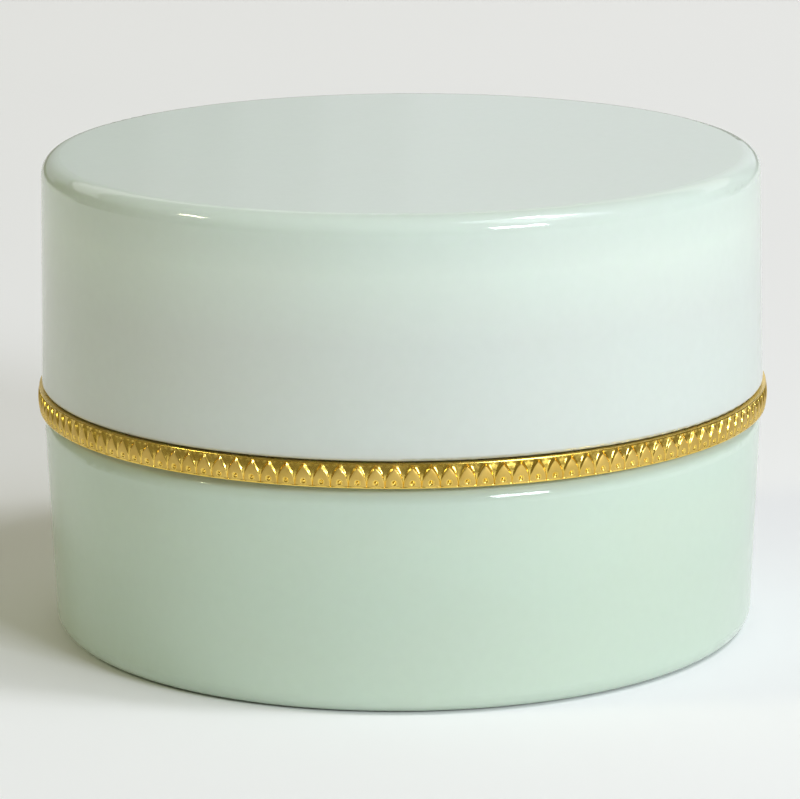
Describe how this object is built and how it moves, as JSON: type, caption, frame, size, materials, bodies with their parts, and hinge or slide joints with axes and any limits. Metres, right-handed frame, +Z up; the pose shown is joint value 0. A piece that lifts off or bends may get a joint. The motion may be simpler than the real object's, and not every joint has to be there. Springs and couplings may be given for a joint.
{
  "type": "cosmetic cream jar",
  "caption": "Squat round opal-glass cream jar with a screw lid and a gilt gallery ring of pointed arches between jar and lid.",
  "frame": {"origin": "centre of the jar foot's bearing plane", "axes": "+Z up along the jar's axis, towards the lid's top; +Y points at the ring's seam, and -Y is the front"},
  "size_m": [0.083, 0.083, 0.0543],
  "materials": {
    "jar_glass": "gloss",
    "lid_glass": "gloss",
    "gilt": "gloss",
    "channel_brass": "satin",
    "ring_adhesive": "satin",
    "disc_plastic": "satin",
    "insert_plastic": "satin",
    "cement": "matte",
    "wad_foam": "matte",
    "facing_film": "gloss"
  },
  "bodies": {
    "jar": {"jar_body": "jar_glass", "collar_adhesive": "ring_adhesive", "collar_channel": "channel_brass", "gallery_strip": "gilt"},
    "disc": {"sealing_disc": "disc_plastic"},
    "lid": {"lid_shell": "lid_glass", "lid_insert": "insert_plastic", "lid_cement": "cement", "liner_wad": "wad_foam", "liner_facing": "facing_film"}
  },
  "joints": [
    {"name": "lid_rise", "type": "slide", "parent": "jar", "child": "disc", "axis": [0, 0, 1], "range_m": [0, 0.00953]},
    {"name": "lid_turn", "type": "hinge", "parent": "disc", "child": "lid", "pos_m": [0, 0, 0.0353], "axis": [0, 0, 1], "range_deg": [0, 810]}
  ],
  "couplings": [
    {"joint": "lid_rise", "follows": "lid_turn", "m_per_rad": 0.00067375}
  ]
}
